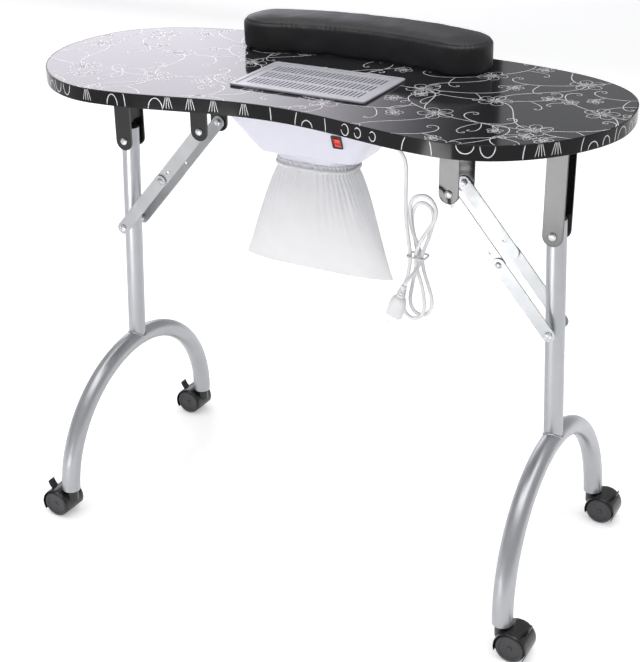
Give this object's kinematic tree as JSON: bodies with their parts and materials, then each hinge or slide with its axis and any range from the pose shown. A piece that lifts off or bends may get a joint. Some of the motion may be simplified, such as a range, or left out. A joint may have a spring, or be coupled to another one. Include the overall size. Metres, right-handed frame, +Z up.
{
  "type": "manicure table",
  "caption": "Folding manicure table: curved black top with a floral print, wrist cushion, down-draught dust fan with bag, and arched legs on casters.",
  "frame": {"origin": "on the floor, at the centre of the footprint", "axes": "+X along the top towards the cord, +Y towards the client's side with the cushion, +Z up"},
  "size_m": [0.891, 0.439, 0.792],
  "materials": {
    "worktop_laminate": "high-gloss laminate with a printed floral line pattern",
    "edge_plastic": "gloss edge band",
    "leatherette": "soft satin leatherette",
    "plywood": "raw",
    "white_plastic": "satin moulded",
    "red_plastic": "gloss",
    "black_plastic": "moulded",
    "caster_plastic": "semi-gloss moulded",
    "black_steel": "gloss black powder coat",
    "silver_paint": "silver metallic powder coat",
    "zinc_steel": "bright zinc plate",
    "motor_steel": "satin",
    "nonwoven": "thin non-woven cloth",
    "cord_vinyl": "satin vinyl"
  },
  "bodies": {
    "root": {"tabletop": "worktop_laminate", "edge_band": "edge_plastic", "cushion_base_board": "plywood", "wrist_cushion": "leatherette", "grille_panel": "white_plastic", "fan_housing": "white_plastic", "outlet_collar": "white_plastic", "motor_mount": "zinc_steel", "fan_motor": "motor_steel", "switch_bezel": "black_plastic", "dust_bag": "nonwoven", "bag_elastic": "nonwoven", "strain_relief": "white_plastic", "power_cord": "cord_vinyl", "power_cord_tail": "cord_vinyl", "cord_hank": "cord_vinyl", "cord_tie": "cord_vinyl", "plug": "cord_vinyl", "plug_blade_wide": "zinc_steel", "plug_blade_narrow": "zinc_steel", "left_hinge_bracket": "black_steel", "left_hinge_bolt": "zinc_steel", "left_brace_bracket": "black_steel", "left_brace_bracket_bolt_front": "zinc_steel", "left_brace_bracket_bolt_rear": "zinc_steel", "right_hinge_bracket": "black_steel", "right_hinge_bolt": "zinc_steel", "right_brace_bracket": "black_steel", "right_brace_bracket_bolt_front": "zinc_steel", "right_brace_bracket_bolt_rear": "zinc_steel"},
    "rocker": {"switch_rocker": "red_plastic"},
    "impeller": {"fan_impeller": "black_plastic"},
    "left_leg": {"left_post": "silver_paint", "left_post_cap": "black_plastic", "left_arch": "silver_paint", "left_brace_post_bolt": "zinc_steel"},
    "left_upper_links": {"left_upper_link_front": "zinc_steel", "left_upper_link_rear": "zinc_steel"},
    "left_lower_links": {"left_lower_link_front": "zinc_steel", "left_lower_link_rear": "zinc_steel"},
    "left_front_caster": {"left_front_caster_hood": "caster_plastic"},
    "left_front_wheels": {"left_front_caster_wheels": "caster_plastic"},
    "left_front_brake": {"left_front_brake_lever": "caster_plastic"},
    "left_rear_caster": {"left_rear_caster_hood": "caster_plastic"},
    "left_rear_wheels": {"left_rear_caster_wheels": "caster_plastic"},
    "left_rear_brake": {"left_rear_brake_lever": "caster_plastic"},
    "right_leg": {"right_post": "silver_paint", "right_post_cap": "black_plastic", "right_arch": "silver_paint", "right_brace_post_bolt": "zinc_steel"},
    "right_upper_links": {"right_upper_link_front": "zinc_steel", "right_upper_link_rear": "zinc_steel"},
    "right_lower_links": {"right_lower_link_front": "zinc_steel", "right_lower_link_rear": "zinc_steel"},
    "right_front_caster": {"right_front_caster_hood": "caster_plastic"},
    "right_front_wheels": {"right_front_caster_wheels": "caster_plastic"},
    "right_front_brake": {"right_front_brake_lever": "caster_plastic"},
    "right_rear_caster": {"right_rear_caster_hood": "caster_plastic"},
    "right_rear_wheels": {"right_rear_caster_wheels": "caster_plastic"},
    "right_rear_brake": {"right_rear_brake_lever": "caster_plastic"}
  },
  "joints": [
    {"name": "left_leg_fold", "type": "hinge", "parent": "root", "child": "left_leg", "pos_m": [-0.355, 0, 0.596], "axis": [0, -1, 0], "range_deg": [0, 92.75], "deforming": ["dust_bag"]},
    {"name": "left_upper_link_swing", "type": "hinge", "parent": "root", "child": "left_upper_links", "pos_m": [-0.205, 0, 0.636], "axis": [0, -1, 0], "range_deg": [-49.49, 0]},
    {"name": "left_lower_link_swing", "type": "hinge", "parent": "left_leg", "child": "left_lower_links", "pos_m": [-0.36189, 0, 0.45256], "axis": [0, -1, 0], "range_deg": [0, 19.54]},
    {"name": "left_front_caster_swivel", "type": "hinge", "parent": "left_leg", "child": "left_front_caster", "pos_m": [-0.38132, -0.197, 0.048], "axis": [0.048, 0, 0.9988], "continuous": true},
    {"name": "left_front_wheel_spin", "type": "hinge", "parent": "left_front_caster", "child": "left_front_wheels", "pos_m": [-0.40057, -0.197, 0.0225], "axis": [0, 1, 0], "continuous": true},
    {"name": "left_front_brake_press", "type": "hinge", "parent": "left_front_caster", "child": "left_front_brake", "pos_m": [-0.41626, -0.197, 0.0417], "axis": [0, -1, 0], "range_deg": [0, 20]},
    {"name": "left_rear_caster_swivel", "type": "hinge", "parent": "left_leg", "child": "left_rear_caster", "pos_m": [-0.38132, 0.197, 0.048], "axis": [0.048, 0, 0.9988], "continuous": true},
    {"name": "left_rear_wheel_spin", "type": "hinge", "parent": "left_rear_caster", "child": "left_rear_wheels", "pos_m": [-0.40057, 0.197, 0.0225], "axis": [0, 1, 0], "continuous": true},
    {"name": "left_rear_brake_press", "type": "hinge", "parent": "left_rear_caster", "child": "left_rear_brake", "pos_m": [-0.41626, 0.197, 0.0417], "axis": [0, -1, 0], "range_deg": [0, 20]},
    {"name": "right_leg_fold", "type": "hinge", "parent": "root", "child": "right_leg", "pos_m": [0.355, 0, 0.564], "axis": [0, 1, 0], "range_deg": [0, 92.75], "deforming": ["dust_bag"]},
    {"name": "right_upper_link_swing", "type": "hinge", "parent": "root", "child": "right_upper_links", "pos_m": [0.205, 0, 0.604], "axis": [0, 1, 0], "range_deg": [-49.49, 0]},
    {"name": "right_lower_link_swing", "type": "hinge", "parent": "right_leg", "child": "right_lower_links", "pos_m": [0.36189, 0, 0.42057], "axis": [0, 1, 0], "range_deg": [0, 19.54]},
    {"name": "right_front_caster_swivel", "type": "hinge", "parent": "right_leg", "child": "right_front_caster", "pos_m": [0.37978, -0.197, 0.048], "axis": [-0.048, 0, 0.9988], "continuous": true},
    {"name": "right_front_wheel_spin", "type": "hinge", "parent": "right_front_caster", "child": "right_front_wheels", "pos_m": [0.39903, -0.197, 0.0225], "axis": [0, 1, 0], "continuous": true},
    {"name": "right_front_brake_press", "type": "hinge", "parent": "right_front_caster", "child": "right_front_brake", "pos_m": [0.41472, -0.197, 0.0417], "axis": [0, 1, 0], "range_deg": [0, 20]},
    {"name": "right_rear_caster_swivel", "type": "hinge", "parent": "right_leg", "child": "right_rear_caster", "pos_m": [0.37978, 0.197, 0.048], "axis": [-0.048, 0, 0.9988], "continuous": true},
    {"name": "right_rear_wheel_spin", "type": "hinge", "parent": "right_rear_caster", "child": "right_rear_wheels", "pos_m": [0.39903, 0.197, 0.0225], "axis": [0, 1, 0], "continuous": true},
    {"name": "right_rear_brake_press", "type": "hinge", "parent": "right_rear_caster", "child": "right_rear_brake", "pos_m": [0.41472, 0.197, 0.0417], "axis": [0, 1, 0], "range_deg": [0, 20]},
    {"name": "switch_rock", "type": "hinge", "parent": "root", "child": "rocker", "pos_m": [0.066, -0.09466, 0.678], "axis": [-1, 0, 0], "range_deg": [0, 16]},
    {"name": "fan_spin", "type": "hinge", "parent": "root", "child": "impeller", "pos_m": [0.007, -0.041, 0.6821], "axis": [0, 0, 1], "continuous": true}
  ],
  "couplings": [
    {"joint": "left_upper_link_swing", "follows": "left_leg_fold", "ratio": -0.5271},
    {"joint": "left_lower_link_swing", "follows": "left_leg_fold", "ratio": 0.20527},
    {"joint": "right_upper_link_swing", "follows": "right_leg_fold", "ratio": -0.5271},
    {"joint": "right_lower_link_swing", "follows": "right_leg_fold", "ratio": 0.20527}
  ]
}
